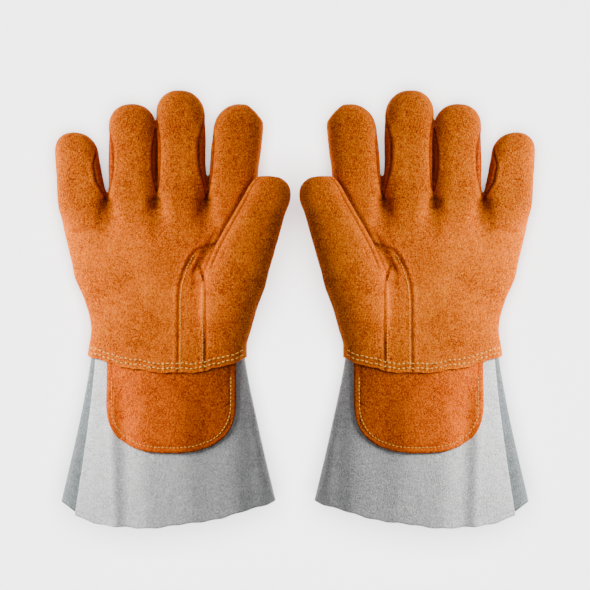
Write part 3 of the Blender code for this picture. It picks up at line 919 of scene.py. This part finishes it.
def shell(first, last, columns, end, rows, thickness, inset=0.0, painted_light_little_side=1.0):
    """A sheet of leather over part of the cuff, between two edges given as functions of the part."""
    across = np.linspace(0, 1, columns)
    layers = []
    for depth in (inset, inset + thickness):
        for part in np.linspace(CUFF_TOP, end, rows):
            angles = first(part) + (last(part) - first(part)) * across
            layers.append(cuff_surface(angles, np.full(columns, part), depth))
    points = np.vstack(layers)
    # painted light and shade: lighter towards the little-finger side, darker towards the thumb side
    tone = painted_light_little_side - (painted_light_little_side + 0.15) * smooth(-75, 70, points[:, 0])
    return outward(Shape(points, sheet_faces(rows, columns), None, tone))


def gusset_angle(part):
    """Half the angle that the gusset takes of the cuff's section."""
    width = 5.5 + 9.0 * np.clip(part, 0, 1)
    left, right = cuff_edges(part)
    return math.acos((1 - width * 2 / (left + right)) ** (1 / ROUNDING))


def cuff_pieces():
    columns, rows = ((150, 80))

    def gusset_edge(turn, extra):
        return lambda part: math.pi + turn * gusset_angle(part) + extra

    def at(angle):
        return lambda part: angle

    front = shell(gusset_edge(-1, 0.0), at(-0.10), columns, 1.0, rows, CUFF_LEATHER)
    back = shell(at(-0.06), gusset_edge(1, -2 * math.pi - 0.03), columns, 1.0, rows, CUFF_LEATHER, 0.3)
    gusset = shell(gusset_edge(-1, -0.10), gusset_edge(1, 0.10), 40, 0.985, rows, GUSSET_LEATHER, 1.8, 0.1)
    return {"cuff_front": front, "cuff_back": back, "cuff_gusset": gusset}


def surface_of(shapes):
    """A lookup that finds the top surface of some shapes at x, y."""
    trees = [BVHTree.FromPolygons(shape.points.tolist(), shape.faces) for shape in shapes]

    def find(x, y):
        best = None
        for tree in trees:
            spot, normal, _, _ = tree.ray_cast(Vector((x, y, 300.0)), Vector((0, 0, -1)))
            if spot is not None and (best is None or spot.z > best[0].z):
                best = (spot, normal if normal.z > 0 else -normal)
        return best
    return find


PATCH_X = 2.2
PATCH_HALF = 51.6
PATCH_STRAIGHT = -32.0
PATCH_LOW = -73.3
PATCH_TOP = 2.0
PATCH_LEATHER = 2.0
PATCH_LIFT = 0.25
PATCH_SEAM = 4.0
PATCH_SEWN = 4.1


def patch_outline(share):
    """Lower edge of the patch at share -1 to 1 of its width."""
    round_part = np.maximum(1 - np.abs(share) ** 2.55, 0) ** (1 / 2.55)
    return PATCH_STRAIGHT + (PATCH_LOW - PATCH_STRAIGHT) * round_part


def wrist_patch(find):
    """The patch, lying on the cuff with its edge curled a little and a groove where it is sewn."""
    columns, rows = ((96, 60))
    outer = []
    inner = []
    edge = []
    for row in range(rows):
        part = row / (rows - 1)
        for column in range(columns):
            share = -math.cos(math.pi * column / (columns - 1))
            low = float(patch_outline(share))
            x = PATCH_X + PATCH_HALF * share
            y = PATCH_TOP + (low - PATCH_TOP) * part ** 0.9
            wobble = 0.15 * math.sin(x * 0.5) * part
            found = find(x, y + wobble * 0.5)
            under = (found[0].z if found else 30.0) + PATCH_LIFT
            gap = max(min(abs(abs(share) - 1) * PATCH_HALF, y - low) * 0.9, 0.0)
            curl = 0.5 * float(bell(gap, 2.5))
            dips = 0.55 * float(bell(gap, 0.7) + bell(gap - PATCH_SEAM, 0.9))
            edge.append(gap)
            outer.append((x, y + wobble, under + PATCH_LEATHER + curl - dips))
            inner.append((x, y + wobble, under + curl * 0.6))
    edge = np.array(edge)
    # painted light and shade: lighter towards the little-finger side, darker towards the thumb side; also
    # darker along the patch's edge
    tone = 0.75 - 1.35 * smooth(-55, 50, np.array(outer)[:, 0]) - 0.5 * bell(edge, 1.1)
    # the seam value puts the painted shade of a seam groove along the sewn line
    seam = np.concatenate([20 - 18.6 * bell(edge - PATCH_SEAM, 0.9), np.full(len(edge), FAR_FROM_SEAM)])
    return outward(Shape(outer + inner, sheet_faces(rows, columns), seam, np.concatenate([tone, tone])))


# ---- stitches

def resample(path, step):
    path = np.array(path, float)
    lengths = np.linalg.norm(np.diff(path, axis=0), axis=1)
    total = np.concatenate([[0], np.cumsum(lengths)])
    places = np.arange(0, total[-1], step)
    return np.stack([np.interp(places, total, path[:, k]) for k in range(2)], axis=1)


STITCH_SIDES = 6
STITCH_RINGS = 7
STITCH_GRAIN = 0.25


def stitch_line(spots, find, wander):
    """Where a stitch lies and which way is up, from one end to the other; none off the leather."""
    line = []
    for ring in range(STITCH_RINGS):
        part = ring / (STITCH_RINGS - 1)
        found = find(*spots[int(round(part * (len(spots) - 1)))])
        if found is None:
            return []
        up = np.array(found[1])
        aside = np.array((*(wander * (1 - 0.6 * part)), 0))
        line.append((np.array(found[0]) + up * (math.sin(math.pi * part) ** 0.45 - 0.55) + aside, up))
    return line


def stitches(path, find, length, gap, radius, seed):
    """Separate stitches along a path, each sinking into the leather at both ends."""
    generator = np.random.default_rng(seed)
    fine = resample(path, STITCH_GRAIN)
    step = int(round((length + gap) / STITCH_GRAIN))
    long = int(round(length / STITCH_GRAIN))
    points = []
    faces = []
    for start in range(0, len(fine) - long, step):
        line = stitch_line(fine[start:start + long + 1], find, generator.normal(0, 0.12, 2))
        if not line:
            continue
        run = line[-1][0] - line[0][0]
        run /= max(np.linalg.norm(run), 1e-6)
        base = len(points)
        for ring, (spot, up) in enumerate(line):
            part = min(max(ring / (STITCH_RINGS - 1), 0.02), 0.98)
            size = radius * (0.45 + 0.55 * math.sin(math.pi * part) ** 0.5)
            side = np.cross(run, up)
            side /= max(np.linalg.norm(side), 1e-6)
            for index in range(STITCH_SIDES):
                turn = 2 * math.pi * index / STITCH_SIDES
                points.append(spot + (side * math.cos(turn) + up * math.sin(turn)) * size)
        faces += quads(STITCH_RINGS, STITCH_SIDES, base)
        faces.append(tuple(base + index for index in reversed(range(STITCH_SIDES))))
        faces.append(tuple(len(points) - STITCH_SIDES + index for index in range(STITCH_SIDES)))
    return outward(Shape(points, faces))


def hem_row(offset):
    return [(x, float(hem_curve(x)) + offset) for x in np.linspace(-63.5, 60.5, 90)]


def strip_paths():
    """Stitch lines just inside the strip's left and right seams."""
    left = [(float(strip_edges(y)[0]) + 2.0, y) for y in np.linspace(-1, 84, 40)]
    right = [(float(strip_edges(y)[1]) - 2.0, y) for y in np.linspace(-1, 70, 36)]
    return left, right


def patch_path():
    """A stitch line round the patch, a little inside its edge."""
    half = PATCH_HALF - PATCH_SEWN
    sides = np.linspace(-13.5, PATCH_STRAIGHT, 8)
    reach = 1 - PATCH_SEWN / (PATCH_STRAIGHT - PATCH_LOW)
    path = [(PATCH_X - half, y) for y in sides]
    for turn in np.linspace(math.pi, 0, 50)[1:-1]:
        share = math.cos(turn)
        drop = float(patch_outline(share)) - PATCH_STRAIGHT
        path.append((PATCH_X + half * share, PATCH_STRAIGHT + drop * reach))
    return path + [(PATCH_X + half, y) for y in sides[::-1]]


# ---- lining

def lining_shape():
    """A brushed cotton tube inside the hand, seen only through the cuff."""
    count = 72
    turns = np.arange(count) * 2 * math.pi / count
    rings = []
    for y in np.linspace(-7, 112, 20):
        left = float(little_edge(y)) + 4.5
        right = float(thumb_edge(y)) - 4.5
        ring = ring_points(((left + right) / 2, y, 14.8), EAST, (right - left) / 2,
                           10.4, 11.2, 0.84, count)
        ring[:, 2] += 0.4 * np.sin(turns * 9 + y * 0.1)
        rings.append(ring)
    return Shape(np.vstack(rings), quads(len(rings), count))


# ---- camera, floor, light

def add_camera():
    data = bpy.data.cameras.new("camera")
    data.lens = 120
    data.sensor_width = 36
    data.clip_end = 20
    item = bpy.data.objects.new("camera", data)
    item.location = (0.0, 0.0096, 1.598)
    bpy.context.scene.camera = linked(item)


def add_light(name, location, target, size, watts, receivers, colour=(1, 1, 1)):
    """A soft light that falls only on the receivers."""
    data = bpy.data.lights.new(name, "AREA")
    data.shape = "RECTANGLE"
    data.size, data.size_y = size
    data.energy = watts
    data.color = colour
    data.spread = math.pi
    item = linked(bpy.data.objects.new(name, data))
    item.location = location
    item.visible_camera = False
    direction = Vector(target) - item.location
    item.rotation_euler = direction.to_track_quat("-Z", "Y").to_euler()
    group = bpy.data.collections.new("lit_by_" + name)
    for receiver in receivers:
        group.objects.link(receiver)
    item.light_linking.receiver_collection = group


def add_stage():
    size = 4.0
    corners = [(side * size, end * size, -0.0006) for side, end in ((-1, -1), (1, -1), (1, 1), (-1, 1))]
    mesh = mesh_of(np.array(corners), [(0, 1, 2, 3)], "floor")
    mesh.materials.append(floor_material())
    item = linked(bpy.data.objects.new("floor", mesh))
    return item


def add_lights(floor, pieces):
    """Each glove has its own low key light on its little-finger side; the floor has an even one."""
    for side_name, side in (("right", -1), ("left", 1)):
        add_light("key_" + side_name, (side * 0.47, 0.10, 0.24), (side * 0.10, 0.0, 0.015), (0.16, 0.34),
                  KEY_WATTS, pieces[side_name], (1.0, 0.985, 0.955))
    both = pieces["right"] + pieces["left"]
    add_light("light_top", (0.0, 0.5, 1.7), (0.0, 0.0, 0.0), (1.2, 0.8), TOP_WATTS, both)
    add_light("light_cuffs", (0.0, -0.95, 0.10), (0.0, -0.17, 0.03), (0.9, 0.14), CUFF_WATTS, both)
    add_light("light_floor", (0.0, 0.0, 1.9), (0.0, 0.0, 0.0), (2.2, 2.2), FLOOR_WATTS, [floor])


def add_world():
    world = bpy.data.worlds.new("room")
    world.use_nodes = True
    background = world.node_tree.nodes["Background"]
    background.inputs["Color"].default_value = (0.95, 0.97, 1.0, 1.0)
    background.inputs["Strength"].default_value = 0.30
    bpy.context.scene.world = world


# ---- put together

# where the leather would start to bend with a body, and over what length; nothing here bends it
DIGIT_BEND = (FINGER_Y, 34.0)
THUMB_BEND = (THUMB_Y, 34.0)
CUFF_BEND = (-6.0, -42.0)


def attach(item, side_name, body, bend=None):
    """Ride on a body; a piece given a bend is neither attached nor bent here, only its transform is baked
    into its mesh.
    """
    full = side_name + "_" + body
    if bend is None:
        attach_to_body(item, full)
        return
    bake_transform(item)


def sewing_shapes(on_hand, on_patch):
    """Every row of stitches, by the name of the thread that it belongs to."""
    left_path, right_path = strip_paths()
    upper = [stitches(hem_row(7.2), on_hand, 2.9, 0.9, 0.46, 4)]
    for index, x in enumerate((-4.0, 9.5, 28.5)):
        low = float(hem_curve(x))
        upper.append(stitches([(x, low + 3.0), (x + 0.2, low + 9.5)], on_hand, 2.6, 0.4, 0.42, 20 + index))
    return {
        "hem_thread_lower": stitches(hem_row(3.4), on_hand, 2.9, 0.9, 0.46, 3),
        "hem_thread_upper": joined(upper),
        "strip_thread": joined([stitches(left_path, on_hand, 1.7, 0.8, 0.34, 5),
                                stitches(right_path, on_hand, 1.7, 0.8, 0.34, 6)]),
        "patch_thread": stitches(patch_path(), on_patch, 2.3, 0.8, 0.38, 7),
    }


def hand_looks(piece):
    """A hand piece's material, slot, body and bend."""
    digit = piece.split("_")[0]
    wall = piece.endswith("wall")
    material = ORANGE_WALL if wall else CUT_EDGE if piece == "hem_edge" else ORANGE
    slot = "dark_orange_suede" if wall else "orange_suede"
    if digit in FINGERS:
        return material, slot, digit, DIGIT_BEND
    if piece in ("thumb_front", "thumb_back"):
        return material, slot, "thumb", THUMB_BEND
    return material, slot, "hand", None


def glove_parts():
    """Each piece as (shape, node, ending of its name, material, slot, body, bend)."""
    hand = hand_pieces()
    cuff = cuff_pieces()
    patch = wrist_patch(surface_of([cuff["cuff_front"], cuff["cuff_gusset"]]))
    on_hand = surface_of([hand[name] for name in ("palm_panel", "thumb_strip", "thenar_panel")])
    parts = [(shape, piece, "_suede", *hand_looks(piece)) for piece, shape in hand.items()]
    for piece, shape in cuff.items():
        looks = (BLUE_GREY, "gusset_suede") if "gusset" in piece else (GREY, "grey_suede")
        parts.append((shape, piece, "_suede", *looks, "cuff", CUFF_BEND))
    parts.append((patch, "wrist_patch", "_suede", ORANGE_PATCH, "dark_orange_suede", "cuff", CUFF_BEND))
    for piece, shape in sewing_shapes(on_hand, surface_of([patch])).items():
        where = ("cuff", CUFF_BEND) if piece == "patch_thread" else ("hand", None)
        parts.append((shape, piece, "_stitches", THREAD, "thread", *where))
    parts.append((lining_shape(), "hand_lining", "_cotton", COTTON, "lining", "hand", None))
    return parts


def build_gloves():
    """Make both gloves, and list each one's objects."""
    parts = glove_parts()
    made = {"right": [], "left": []}
    for side_name, side in (("right", 1), ("left", -1)):
        for shape, piece, ending, material, slot, body, bend in parts:
            node = side_name + "_" + piece
            item = shape.make(node + ending, side, material)
            made[side_name].append(item)
            attach(item, side_name, body, bend)
            if piece != "hem_edge":
                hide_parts(node)
    return made


add_camera()
add_world()
add_lights(add_stage(), build_gloves())
